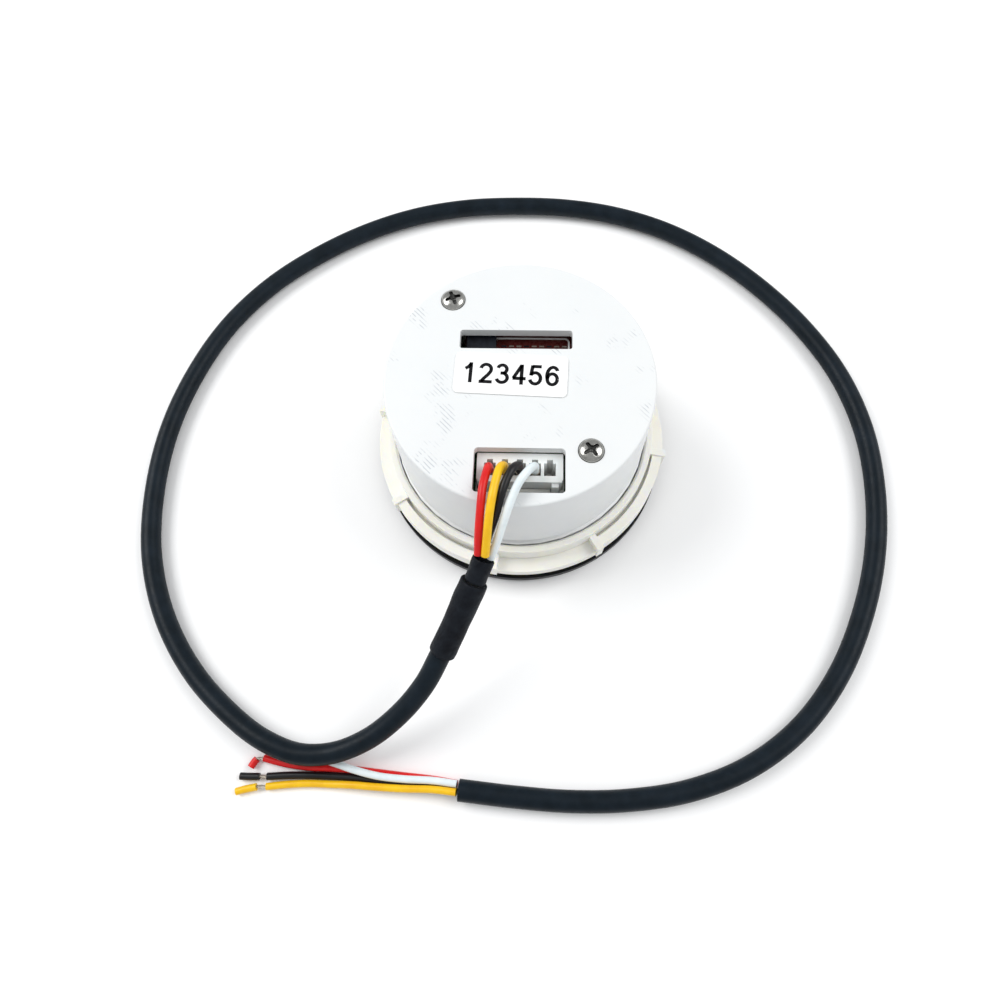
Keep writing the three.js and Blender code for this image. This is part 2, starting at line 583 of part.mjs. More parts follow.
function buildCable() {
  for (const name of WIRES) {
    add(`lead_${name}`, tube(LEAD_ROUTES[name], WIRE_R, TUBE_SIDES, 8), WIRE_FINISH[name]);
  }
  add('inner_sleeve', tube(INNER_SLEEVE_ROUTE, INNER_SLEEVE_R, JACKET_SIDES, 2), SLEEVE_BLACK);
  add('outer_sleeve', tube(OUTER_SLEEVE_ROUTE, OUTER_SLEEVE_R, JACKET_SIDES, 4), SLEEVE_BLACK);
  add('cable_jacket', tube(JACKET_ROUTE, JACKET_R, JACKET_SIDES, 48), JACKET_BLACK);
  for (const name of WIRES) {
    add(`tail_${name}`, tube(TAIL_ROUTES[name], WIRE_R, TUBE_SIDES, 9), WIRE_FINISH[name]);
    add(`slug_${name}`, tube(SLUG_ROUTES[name], WIRE_R, TUBE_SIDES, 2), WIRE_FINISH[name]);
    const from = new THREE.Vector3(...TAIL_ROUTES[name].at(-1));
    const to = new THREE.Vector3(...SLUG_ROUTES[name][0]);
    const along = to.clone().sub(from).normalize().multiplyScalar(END_GAP);
    from.add(along);
    to.sub(along);
    const middle = from.clone().lerp(to, 0.5);
    const route = [from.toArray(), middle.toArray(), to.toArray()];
    add(`strand_${name}`, tube(route, STRAND_R, TUBE_SIDES, 1), TIN);
  }
}

buildFront();
buildBarrel();
buildRing();
buildWasher();
buildCover();
buildScrews();
buildLabel();
buildBoards();
buildHeader();
buildPlug();
buildCrimps();
buildCable();

export default model;
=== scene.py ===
"""Looks of a round panel-mount battery monitor display that lies face down with its cable plugged in."""
import math

import bpy
from mathutils import Matrix, Vector, noise


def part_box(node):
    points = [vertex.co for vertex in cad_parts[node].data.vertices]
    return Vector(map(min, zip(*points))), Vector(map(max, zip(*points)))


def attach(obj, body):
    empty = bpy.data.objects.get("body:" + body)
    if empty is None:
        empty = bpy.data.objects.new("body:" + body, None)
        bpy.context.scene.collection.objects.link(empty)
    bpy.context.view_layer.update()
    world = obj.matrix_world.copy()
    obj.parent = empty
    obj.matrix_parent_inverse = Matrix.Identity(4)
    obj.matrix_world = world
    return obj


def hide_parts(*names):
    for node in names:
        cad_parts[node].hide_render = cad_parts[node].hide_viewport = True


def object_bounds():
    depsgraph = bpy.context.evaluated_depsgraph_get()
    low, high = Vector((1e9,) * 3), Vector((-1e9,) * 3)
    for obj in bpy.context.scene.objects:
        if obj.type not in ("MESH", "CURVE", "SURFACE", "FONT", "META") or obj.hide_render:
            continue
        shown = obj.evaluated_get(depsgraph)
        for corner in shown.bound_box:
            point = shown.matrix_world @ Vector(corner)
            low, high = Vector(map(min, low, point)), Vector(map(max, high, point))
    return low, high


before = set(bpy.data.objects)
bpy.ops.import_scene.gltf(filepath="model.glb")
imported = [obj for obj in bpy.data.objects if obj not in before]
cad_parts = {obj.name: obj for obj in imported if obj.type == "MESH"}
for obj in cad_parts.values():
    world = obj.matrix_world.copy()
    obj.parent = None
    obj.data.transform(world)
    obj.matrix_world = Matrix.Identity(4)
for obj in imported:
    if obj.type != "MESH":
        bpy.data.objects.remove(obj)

MM = 0.001
cad_low, cad_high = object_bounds()


def box_of(node):
    """The low and high corners of a CAD node's box, in millimetres."""
    return [Vector(corner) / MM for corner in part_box(node)]


# ---------- sizes, in millimetres ----------
COVER_LOW, COVER_HIGH = box_of("rear_cover")
RING_LOW, RING_HIGH = box_of("lock_ring")
BEZEL_HIGH = box_of("front_bezel")[1]
LABEL_LOW, LABEL_HIGH = box_of("number_label")
HEADER_LOW, HEADER_HIGH = box_of("board_header")
PLUG_LOW, PLUG_HIGH = box_of("plug_housing")
RADIO_LOW, RADIO_HIGH = box_of("radio_board")
CHIP_LOW, CHIP_HIGH = box_of("radio_module")

TOP = COVER_HIGH.z
COVER_TOP_R = 23.4
COVER_FOOT_R = 23.8
COVER_BORE_R = 21.8
COVER_SKIN = 1.8
SLOT = dict(x=-0.7, y=7.5, length=19.6, width=3.7)
CUTOUT = dict(x=0.4, y=-17.0, length=15.1, width=7.8)
SCREW_PLACES = ((-12.1, 15.5), (12.1, -13.4))
SCREW_HEAD_R = 2.1
COUNTERBORE = 0.6
LABEL = dict(length=19.4, width=7.9, corner=0.95, turn=-2.3)
SLOT_BORDER = dict(x=0.75, y=7.8, length=16.1, width=4.8, corner=0.9, line=0.3)
SLOT_PADS = dict(count=9, first=-3.4, pitch=1.35, length=0.9, low_y=8.3, high_y=8.6)

# Each digit is a list of strokes in a box one wide and one high. A stroke is a list of corners (x, y) and
# arcs (centre x, centre y, x radius, y radius, start, end).
DIGIT = dict(shown="123456", pitch=2.84, width=1.84, height=3.35, stroke=0.62)
DIGIT_STROKES = {
    "1": [[(0.62, -0.08), (0.62, 1.08)], [(0.62, 1.0), (0.42, 0.84), (0.12, 0.71)]],
    "2": [[(0.5, 0.72, 0.48, 0.28, 170, -35), (0.7, 0.4), (0.36, 0.2), (0.1, 0.0)],
          [(-0.1, 0.0), (1.12, 0.0)]],
    "3": [[(0.47, 0.76, 0.42, 0.24, 165, -80)], [(0.32, 0.535), (0.56, 0.535)],
          [(0.47, 0.27, 0.5, 0.27, 80, -165)]],
    "4": [[(-0.08, 0.27), (1.14, 0.27)], [(-0.02, 0.27), (0.72, 1.03)], [(0.74, -0.08), (0.74, 1.08)]],
    "5": [[(0.18, 1.0), (1.02, 1.0)], [(0.2, 1.06), (0.06, 0.47)], [(0.46, 0.32, 0.5, 0.32, 145, -165)]],
    "6": [[(0.54, 0.74, 0.42, 0.26, 12, 92)], [(0.56, 0.5, 0.56, 0.5, 88, 200)],
          [(0.5, 0.31, 0.46, 0.31, 0, 360)]],
}

RING_BORE_R = 24.15
RING_MOUTH_R = 24.6
RING_COLLAR_R = 25.6
RING_NECK_R = 26.0
RING_RIM_R = 27.6
RING_LOW_R = 28.2
RING_GRIP_IN_R = 26.2
RING_GRIP_R = 28.0
RING_RIB_R = 28.6
RING_RIM_LOW = 4.8
RING_RIM_TOP = 7.0
RING_GRIP_TOP = 8.8
RING_RIB_TOP = 9.2
RING_RIB_HALF = 0.65
RING_LOW_DEG = 42
RING_FIRST_DEG = -78
RING_SECTORS = 4
WASHER = dict(radius=26.6, low=2.15, high=2.65, edge=0.1)
BEZEL_OPENING_R = 19.0
BEZEL_POCKET_R = 20.6
BEZEL_LIP = 0.8

PIN_PITCH = 2.5
PLUG_X = 0.45
PLUG_Y = -15.9
CAVITY_Y = -16.05
PLUG_HALF_LENGTH = 7.0
PLUG_HALF_WIDTH = 2.4
KEY_OFFSET = 5.9
PIN_XS = [PLUG_X + PIN_PITCH * (i - 2) for i in range(5)]
WIRES = ("red", "yellow", "black", "white")

WIRE_R = 0.65
LEAD_R = 0.70
STRAND_R = 0.1
STRAND_SPREAD = 0.2
JACKET_R = 1.9
INNER_SLEEVE_R = 1.85
OUTER_SLEEVE_R = 2.35

# ---------- routes of the cable, in metres ----------
LEAD_ROUTES = {
    "red": [(-.00455, -.01605, .0272), (-.00465, -.0163, .0296), (-.0049, -.0182, .0312),
            (-.0053, -.0206, .0317), (-.0055, -.0230, .0313), (-.0057, -.0254, .0301),
            (-.0059, -.0278, .0282), (-.0060, -.0303, .0260)],
    "yellow": [(-.00205, -.01605, .0272), (-.00215, -.0162, .0298), (-.0027, -.0174, .0317),
               (-.0033, -.0200, .0323), (-.0038, -.0229, .0321), (-.0042, -.0256, .0309),
               (-.0045, -.0282, .0289), (-.0048, -.0306, .0265)],
    "black": [(.00045, -.01605, .0272), (.00035, -.0162, .0300), (-.0006, -.0174, .0317),
              (-.0016, -.0195, .0319), (-.0024, -.0220, .0314), (-.0031, -.0245, .0299),
              (-.0042, -.0270, .0273), (-.0054, -.0297, .02475)],
    "white": [(.00295, -.01605, .0272), (.00285, -.0163, .0300), (.0017, -.0179, .0315),
              (.0004, -.0200, .0319), (-.0008, -.0228, .0313), (-.0018, -.0255, .0300),
              (-.0029, -.0283, .0276), (-.0040, -.0306, .0251)],
}
INNER_SLEEVE_ROUTE = [(-.0051, -.03075, .0253), (-.0057, -.0321, .0243), (-.0065, -.0337, .0230)]
OUTER_SLEEVE_ROUTE = [(-.00665, -.0340, .02275), (-.0083, -.0371, .0203), (-.0102, -.0408, .0174),
                      (-.0123, -.0444, .0144)]
JACKET_ROUTE = [
    (-.0125, -.04465, .0142), (-.0153, -.0493, .0110), (-.0196, -.0541, .0079), (-.0254, -.0585, .0054),
    (-.0318, -.0611, .0040), (-.0380, -.0615, .0037), (-.0440, -.0597, .0035), (-.0501, -.0563, .0029),
    (-.0600, -.0481, .0021), (-.0679, -.0374, .00195), (-.0730, -.0249, .00195), (-.0750, -.0113, .00195),
    (-.0745, .0026, .00195), (-.0713, .0159, .00195), (-.0657, .0284, .00195), (-.0577, .0389, .00195),
    (-.0479, .0473, .00195), (-.0372, .0539, .00195), (-.0260, .0585, .00195), (-.0144, .0610, .00195),
    (-.0026, .0617, .00195), (.0092, .0612, .00195), (.0208, .0590, .00195), (.0320, .0547, .00195),
    (.0425, .0481, .00195), (.0520, .0395, .00195), (.0603, .0293, .00195), (.0667, .0176, .00195),
    (.0702, .0048, .00195), (.0707, -.0087, .00195), (.0688, -.0218, .00195), (.0647, -.0341, .00195),
    (.0589, -.0451, .00195), (.0511, -.0544, .00195), (.0416, -.0612, .00195), (.0309, -.0654, .00195),
    (.0202, -.0673, .00195), (.0100, -.0678, .00195), (.0005, -.0674, .00195), (-.0094, -.0666, .00195),
]
TAIL_ROUTES = {
    "red": [(-.00975, -.06562, .0012), (-.014, -.06505, .00085), (-.0192, -.06465, .0007),
            (-.024, -.06425, .0007), (-.0285, -.06387, .0007), (-.033, -.06372, .0007),
            (-.0371, -.06365, .0007), (-.0412, -.0632, .0007), (-.0452, -.0624, .0007)],
    "yellow": [(-.00975, -.06695, .00285), (-.014, -.06665, .0023), (-.0192, -.0667, .00188),
               (-.024, -.0666, .00162), (-.0285, -.06642, .00132), (-.033, -.06642, .0008),
               (-.0371, -.06645, .0007), (-.0407, -.06675, .0007), (-.0441, -.0672, .0007)],
    "black": [(-.00975, -.06695, .0011), (-.014, -.0664, .00085), (-.0192, -.066, .0007),
              (-.024, -.0656, .0007), (-.0285, -.0652, .0007), (-.033, -.06505, .0007),
              (-.0371, -.06505, .0007), (-.0407, -.0652, .0007), (-.0442, -.0655, .0007)],
    "white": [(-.00975, -.0656, .00255), (-.014, -.0652, .00225), (-.0192, -.06512, .00198),
              (-.024, -.06475, .00196), (-.0285, -.0638, .00205), (-.031, -.0631, .00185),
              (-.0336, -.06245, .0013), (-.0366, -.0619, .00072), (-.0396, -.0615, .0007)],
}
SLUG_ROUTES = {
    "red": [(-.0465, -.0626, .0007), (-.0469, -.0631, .0007), (-.0474, -.0640, .0007)],
    "yellow": [(-.0459, -.0673, .0007), (-.0477, -.0677, .0007), (-.0495, -.0682, .0007)],
    "black": [(-.0456, -.06555, .0007), (-.0473, -.0656, .0007), (-.0491, -.0656, .0007)],
    "white": [(-.0410, -.0613, .0007), (-.0427, -.06115, .0007), (-.0444, -.0610, .0007)],
}


# ---------- mesh helpers ----------
def new_object(name, data):
    piece = bpy.data.objects.new(name, data)
    bpy.context.scene.collection.objects.link(piece)
    return piece


def mesh_piece(name, points, faces, scale=MM):
    mesh = bpy.data.meshes.new(name)
    mesh.from_pydata([tuple(scale * value for value in point) for point in points], [], faces)
    mesh.validate()
    mesh.update()
    return new_object(name, mesh)


def apply_modifiers(piece):
    graph = bpy.context.evaluated_depsgraph_get()
    mesh = bpy.data.meshes.new_from_object(piece.evaluated_get(graph))
    piece.modifiers.clear()
    old = piece.data
    piece.data = mesh
    bpy.data.meshes.remove(old)


def combine(piece, other, operation):
    step = piece.modifiers.new("combine", "BOOLEAN")
    step.operation = operation
    step.solver = "EXACT"
    step.object = other
    apply_modifiers(piece)
    bpy.data.objects.remove(other)
    return piece


def soften(piece, width, segments=2, angle=30):
    step = piece.modifiers.new("soften", "BEVEL")
    step.width = width * MM
    step.segments = segments
    step.limit_method = "ANGLE"
    step.angle_limit = math.radians(angle)
    step.use_clamp_overlap = True
    apply_modifiers(piece)
    return piece


def smooth(piece, angle=35):
    """Smooth shading that leaves large flat faces flat."""
    piece.data.shade_smooth()
    piece.data.set_sharp_from_angle(angle=math.radians(angle))
    step = piece.modifiers.new("flatten", "WEIGHTED_NORMAL")
    step.keep_sharp = True
    step.weight = 100
    apply_modifiers(piece)
    return piece


def lathe(name, profile, facets=192, centre=(0, 0)):
    """A closed profile of (radius, z) turned about the Z axis. A point on the axis makes a pole."""
    points = []
    rows = []
    for radius, z in profile:
        if radius < 1e-6:
            rows.append([len(points)] * facets)
            points.append((centre[0], centre[1], z))
            continue
        rows.append(list(range(len(points), len(points) + facets)))
        for i in range(facets):
            a = 2 * math.pi * i / facets
            points.append((centre[0] + radius * math.cos(a), centre[1] + radius * math.sin(a), z))
    faces = []
    for row, following in zip(rows, rows[1:] + rows[:1]):
        for i in range(facets):
            k = (i + 1) % facets
            corners = [row[i], row[k], following[k], following[i]]
            face = list(dict.fromkeys(corners))
            if len(face) > 2:
                faces.append(face)
    return mesh_piece(name, points, faces)


def prism(name, outline, z0, z1):
    count = len(outline)
    points = [(x, y, z0) for x, y in outline] + [(x, y, z1) for x, y in outline]
    faces = [list(range(count))[::-1], list(range(count, 2 * count))]
    faces += [[i, (i + 1) % count, count + (i + 1) % count, count + i] for i in range(count)]
    return mesh_piece(name, points, faces)


def rounded_outline(x, y, length, width, corner, steps=8):
    outline = []
    for sx, sy, start in ((1, -1, -90), (1, 1, 0), (-1, 1, 90), (-1, -1, 180)):
        for i in range(steps + 1):
            a = math.radians(start + 90 * i / steps)
            outline.append((x + sx * (length / 2 - corner) + corner * math.cos(a),
                            y + sy * (width / 2 - corner) + corner * math.sin(a)))
    return outline


def block(name, low, high, turn=0.0):
    """A box from its low corner to its high one, then turned about the Z axis by turn degrees."""
    a = math.radians(turn)
    outline = [(low[0], low[1]), (high[0], low[1]), (high[0], high[1]), (low[0], high[1])]
    outline = [(x * math.cos(a) - y * math.sin(a), x * math.sin(a) + y * math.cos(a)) for x, y in outline]
    return prism(name, outline, low[2], high[2])


def sector(name, inner, outer, start, span, z0, z1, steps):
    arc = [math.radians(start + span * i / steps) for i in range(steps + 1)]
    outline = [(outer * math.cos(a), outer * math.sin(a)) for a in arc]
    outline += [(inner * math.cos(a), inner * math.sin(a)) for a in reversed(arc)]
    return prism(name, outline, z0, z1)


# ---------- curves ----------
def smooth_route(route, per_span=10):
    """Points of a centripetal Catmull-Rom curve through the route's points."""
    knots = [Vector(point) for point in route]
    knots = [2 * knots[0] - knots[1]] + knots + [2 * knots[-1] - knots[-2]]
    points = []
    for p0, p1, p2, p3 in zip(knots, knots[1:], knots[2:], knots[3:]):
        t1 = (p1 - p0).length ** 0.5
        t2 = t1 + (p2 - p1).length ** 0.5
        t3 = t2 + (p3 - p2).length ** 0.5
        for i in range(per_span):
            t = t1 + (t2 - t1) * i / per_span
            a1 = p0 * ((t1 - t) / t1) + p1 * (t / t1)
            a2 = p1 * ((t2 - t) / (t2 - t1)) + p2 * ((t - t1) / (t2 - t1))
            a3 = p2 * ((t3 - t) / (t3 - t2)) + p3 * ((t - t2) / (t3 - t2))
            b1 = a1 * ((t2 - t) / t2) + a2 * (t / t2)
            b2 = a2 * ((t3 - t) / (t3 - t1)) + a3 * ((t - t1) / (t3 - t1))
            points.append(b1 * ((t2 - t) / (t2 - t1)) + b2 * ((t - t1) / (t2 - t1)))
    points.append(knots[-2])
    return points


def length_of(points):
    return sum((b - a).length for a, b in zip(points, points[1:]))


def round_wires(name, lines, radius, roundness=8):
    """Wires with a round section: one open spline for each line of points."""
    curve = bpy.data.curves.new(name, "CURVE")
    curve.dimensions = "3D"
    curve.bevel_depth = radius * MM
    curve.bevel_resolution = roundness
    curve.use_fill_caps = True
    for points in lines:
        spline = curve.splines.new("POLY")
        spline.points.add(len(points) - 1)
        for knot, point in zip(spline.points, points):
            knot.co = (*point, 1)
        spline.use_smooth = True
    return new_object(name, curve)



def sweep(name, points, stations, sides=32, wobble=0.0, scale=900.0):
    """A tube along points. Each station is (distance along, radius) in millimetres, and may step back."""
    runs = [0.0]
    for a, b in zip(points, points[1:]):
        runs.append(runs[-1] + (b - a).length / MM)
    frames = []
    across = Vector((0, 0, 1)).cross(points[1] - points[0]).normalized()
    for i, point in enumerate(points):
        ahead = points[min(i + 1, len(points) - 1)] - points[max(i - 1, 0)]
        along = ahead.normalized()
        across = (across - along * across.dot(along)).normalized()
        frames.append((point, across.copy(), along.cross(across)))
    verts = []
    for distance, radius in stations:
        index = max(i for i, run in enumerate(runs) if run <= max(distance, 0.0) + 1e-9)
        following = min(index + 1, len(runs) - 1)
        span = runs[following] - runs[index]
        share = (distance - runs[index]) / span if span else 0.0
        middle = frames[index][0].lerp(frames[following][0], share)
        side = frames[index][1].lerp(frames[following][1], share).normalized()
        lift = frames[index][2].lerp(frames[following][2], share).normalized()
        for k in range(sides):
            a = 2 * math.pi * k / sides
            out = side * math.cos(a) + lift * math.sin(a)
            bump = 1 + wobble * noise.noise((middle + out * radius * MM) * scale)
            verts.append(tuple((middle + out * radius * bump * MM) / MM))
    faces = []
    for j in range(len(stations) - 1):
        for k in range(sides):
            n = (k + 1) % sides
            faces.append([j * sides + k, j * sides + n, (j + 1) * sides + n, (j + 1) * sides + k])
    last = (len(stations) - 1) * sides
    faces.append(list(range(sides))[::-1])
    faces.append([last + k for k in range(sides)])
    return smooth(mesh_piece(name, verts, faces), 50)


# ---------- materials ----------
def start_material(name):
    material = bpy.data.materials.new(name)
    material.use_nodes = True
    tree = material.node_tree
    tree.nodes.clear()
    output = tree.nodes.new("ShaderNodeOutputMaterial")
    shader = tree.nodes.new("ShaderNodeBsdfPrincipled")
    tree.links.new(shader.outputs["BSDF"], output.inputs["Surface"])
    coordinates = tree.nodes.new("ShaderNodeTexCoord")
    return material, tree, shader, coordinates.outputs["Object"]


def add_noise(tree, place, scale, detail=4.0, rough=0.55):
    texture = tree.nodes.new("ShaderNodeTexNoise")
    texture.inputs["Scale"].default_value = scale
    texture.inputs["Detail"].default_value = detail
    texture.inputs["Roughness"].default_value = rough
    tree.links.new(place, texture.inputs["Vector"])
    return texture.outputs["Fac"]


def remap(tree, value, low, high, new_low, new_high):
    step = tree.nodes.new("ShaderNodeMapRange")
    step.inputs["From Min"].default_value = low
    step.inputs["From Max"].default_value = high
    step.inputs["To Min"].default_value = new_low
    step.inputs["To Max"].default_value = new_high
    tree.links.new(value, step.inputs["Value"])
    return step.outputs["Result"]


def blend_colours(tree, value, first, second):
    mix = tree.nodes.new("ShaderNodeMix")
    mix.data_type = "RGBA"
    tree.links.new(value, mix.inputs["Factor"])
    for socket, colour in ((mix.inputs["A"], first), (mix.inputs["B"], second)):
        if isinstance(colour, tuple):
            socket.default_value = (*colour, 1)
        else:
            tree.links.new(colour, socket)
    return mix.outputs["Result"]


def add_bump(tree, shader, height, strength, distance, base=None):
    bump = tree.nodes.new("ShaderNodeBump")
    bump.inputs["Strength"].default_value = strength
    bump.inputs["Distance"].default_value = distance
    tree.links.new(height, bump.inputs["Height"])
    if base is not None:
        tree.links.new(base, bump.inputs["Normal"])
    tree.links.new(bump.outputs["Normal"], shader.inputs["Normal"])
    return bump.outputs["Normal"]


def set_tones(tree, shader, value, first, second):
    tree.links.new(blend_colours(tree, value, first, second), shader.inputs["Base Color"])


def set_gloss(tree, shader, place, scale, low, high):
    """An uneven roughness between low and high."""
    gloss = remap(tree, add_noise(tree, place, scale), 0.3, 0.7, low, high)
    tree.links.new(gloss, shader.inputs["Roughness"])


def math_node(tree, operation, first, second):
    step = tree.nodes.new("ShaderNodeMath")
    step.operation = operation
    for socket, value in zip(step.inputs, (first, second)):
        if isinstance(value, (int, float)):
            socket.default_value = value
        else:
            tree.links.new(value, socket)
    return step.outputs["Value"]


def plain_surface(name, colour, other, roughness, spread, blotch=180.0, grain=2500.0, depth=0.00002, **fixed):
    """Two close colours in soft blotches, an uneven gloss and a fine grain."""
    material, tree, shader, place = start_material(name)
    blotches = add_noise(tree, place, blotch)
    value = remap(tree, blotches, 0.35, 0.65, 0.0, 1.0)
    set_tones(tree, shader, value, colour, other)
    set_gloss(tree, shader, place, blotch * 3, roughness - spread, roughness + spread)
    add_bump(tree, shader, add_noise(tree, place, grain, 2.0), 0.35, depth)
    for socket, number in fixed.items():
        shader.inputs[socket.replace("_", " ")].default_value = number
    return material


def wave(tree, place, period, turn=(0, 0, 0), distortion=0.0):
    """Straight bands of the given period, in metres, across the turned X axis."""
    turned = tree.nodes.new("ShaderNodeMapping")
    turned.inputs["Rotation"].default_value = [math.radians(angle) for angle in turn]
    tree.links.new(place, turned.inputs["Vector"])
    texture = tree.nodes.new("ShaderNodeTexWave")
    texture.wave_type = "BANDS"
    texture.bands_direction = "X"
    texture.inputs["Scale"].default_value = 0.314 / period
    texture.inputs["Distortion"].default_value = distortion
    texture.inputs["Detail"].default_value = 1.0
    texture.inputs["Detail Scale"].default_value = 2.0
    tree.links.new(turned.outputs["Vector"], texture.inputs["Vector"])
    return texture.outputs["Fac"]


def cover_surface():
    """White printed plastic: patches of slanting strokes on the flat back, fine layers on the wall."""
    material, tree, shader, place = start_material("cover_white")
    normal = tree.nodes.new("ShaderNodeNewGeometry")
    split = tree.nodes.new("ShaderNodeSeparateXYZ")
    tree.links.new(normal.outputs["Normal"], split.inputs["Vector"])
    flat = remap(tree, split.outputs["Z"], 0.85, 0.95, 0.0, 1.0)
    strokes = wave(tree, place, 0.00062, (0, 0, -45), 0.6)
    strokes = remap(tree, strokes, 0.72, 0.95, 0.0, 1.0)
    patches = remap(tree, add_noise(tree, place, 120.0, 3.0), 0.58, 0.66, 0.0, 1.0)
    breaks = remap(tree, add_noise(tree, place, 620.0, 2.0), 0.42, 0.52, 0.0, 1.0)
    marks = math_node(tree, "MULTIPLY", math_node(tree, "MULTIPLY", strokes, patches), breaks)
    marks = math_node(tree, "MULTIPLY", marks, flat)
    tint = blend_colours(tree, remap(tree, add_noise(tree, place, 60.0), 0.35, 0.65, 0.0, 1.0),
                         (0.77, 0.785, 0.785), (0.75, 0.768, 0.772))
    marked = blend_colours(tree, math_node(tree, "MULTIPLY", marks, 0.9), tint, (0.50, 0.53, 0.56))
    tree.links.new(marked, shader.inputs["Base Color"])
    set_gloss(tree, shader, place, 500.0, 0.38, 0.55)
    layers = wave(tree, place, 0.00022, (0, 90, 0), 0.3)
    wall = math_node(tree, "SUBTRACT", 1.0, flat)
    first = add_bump(tree, shader, math_node(tree, "MULTIPLY", layers, wall), 0.25, 0.00003)
    fine = add_bump(tree, shader, marks, 0.3, 0.00005, first)
    add_bump(tree, shader, add_noise(tree, place, 3000.0, 2.0), 0.2, 0.00002, fine)
    shader.inputs["Subsurface Weight"].default_value = 0.08
    shader.inputs["Subsurface Radius"].default_value = (0.0008, 0.0009, 0.001)
    return material


def ring_surface():
    """Natural nylon: milky and slightly yellow where it is thick."""
    material, tree, shader, place = start_material("ring_nylon")
    cloud = remap(tree, add_noise(tree, place, 90.0, 3.0), 0.3, 0.7, 0.0, 1.0)
    set_tones(tree, shader, cloud, (0.92, 0.915, 0.875), (0.89, 0.875, 0.80))
    set_gloss(tree, shader, place, 700.0, 0.32, 0.48)
    add_bump(tree, shader, add_noise(tree, place, 1500.0, 3.0), 0.25, 0.00003)
    shader.inputs["Subsurface Weight"].default_value = 0.7
    shader.inputs["Subsurface Radius"].default_value = (0.0034, 0.0030, 0.0018)
    shader.inputs["IOR"].default_value = 1.53
    return material


def board_surface(name, mask, track):
    """Solder mask with straight tracks under it."""
    material, tree, shader, place = start_material(name)
    bricks = tree.nodes.new("ShaderNodeTexBrick")
    bricks.inputs["Scale"].default_value = 420.0
    bricks.inputs["Mortar Size"].default_value = 0.09
    bricks.inputs["Color1"].default_value = (*mask, 1)
    bricks.inputs["Color2"].default_value = (*[0.8 * value for value in mask], 1)
    bricks.inputs["Mortar"].default_value = (*track, 1)
    tree.links.new(place, bricks.inputs["Vector"])
    tree.links.new(bricks.outputs["Color"], shader.inputs["Base Color"])
    set_gloss(tree, shader, place, 900.0, 0.22, 0.4)
    add_bump(tree, shader, bricks.outputs["Fac"], 0.2, 0.00003)
    return material


def metal_surface(name, colour, other, roughness, scratch=4000.0):
    material, tree, shader, place = start_material(name)
    cloud = remap(tree, add_noise(tree, place, 1200.0, 3.0), 0.35, 0.65, 0.0, 1.0)
    set_tones(tree, shader, cloud, colour, other)
    set_gloss(tree, shader, place, scratch, roughness - 0.08, roughness + 0.1)
    add_bump(tree, shader, add_noise(tree, place, scratch, 2.0), 0.2, 0.00001)
    shader.inputs["Metallic"].default_value = 1.0
    return material


def jacket_surface():
    """Black PVC with a faint blue cast and a fine matt grain."""
    material, tree, shader, place = start_material("jacket_pvc")
    cloud = remap(tree, add_noise(tree, place, 260.0, 3.0), 0.35, 0.7, 0.0, 1.0)
    set_tones(tree, shader, cloud, (0.003, 0.007, 0.011), (0.007, 0.013, 0.020))
    set_gloss(tree, shader, place, 1400.0, 0.34, 0.5)
    coarse = add_bump(tree, shader, add_noise(tree, place, 700.0, 2.0), 0.15, 0.00006)
    add_bump(tree, shader, add_noise(tree, place, 6000.0, 2.0), 0.3, 0.00002, coarse)
    shader.inputs["Specular IOR Level"].default_value = 0.14
    return material


def sleeve_surface():
    """Heat-shrink: matt, with short wrinkles."""
    material, tree, shader, place = start_material("sleeve_shrink")
    cloud = remap(tree, add_noise(tree, place, 500.0, 3.0), 0.35, 0.7, 0.0, 1.0)
    set_tones(tree, shader, cloud, (0.004, 0.005, 0.008), (0.010, 0.013, 0.018))
    set_gloss(tree, shader, place, 2200.0, 0.45, 0.65)
    wrinkles = add_bump(tree, shader, wave(tree, place, 0.0009, (0, 0, 60), 6.0), 0.35, 0.00006)
    add_bump(tree, shader, add_noise(tree, place, 4500.0, 2.0), 0.4, 0.00003, wrinkles)
    shader.inputs["Specular IOR Level"].default_value = 0.12
    return material


def wire_surface(name, colour, other):
    return plain_surface(name, colour, other, 0.36, 0.06, blotch=400.0, grain=3500.0, depth=0.00002,
                         Subsurface_Weight=0.05, Specular_IOR_Level=0.35)


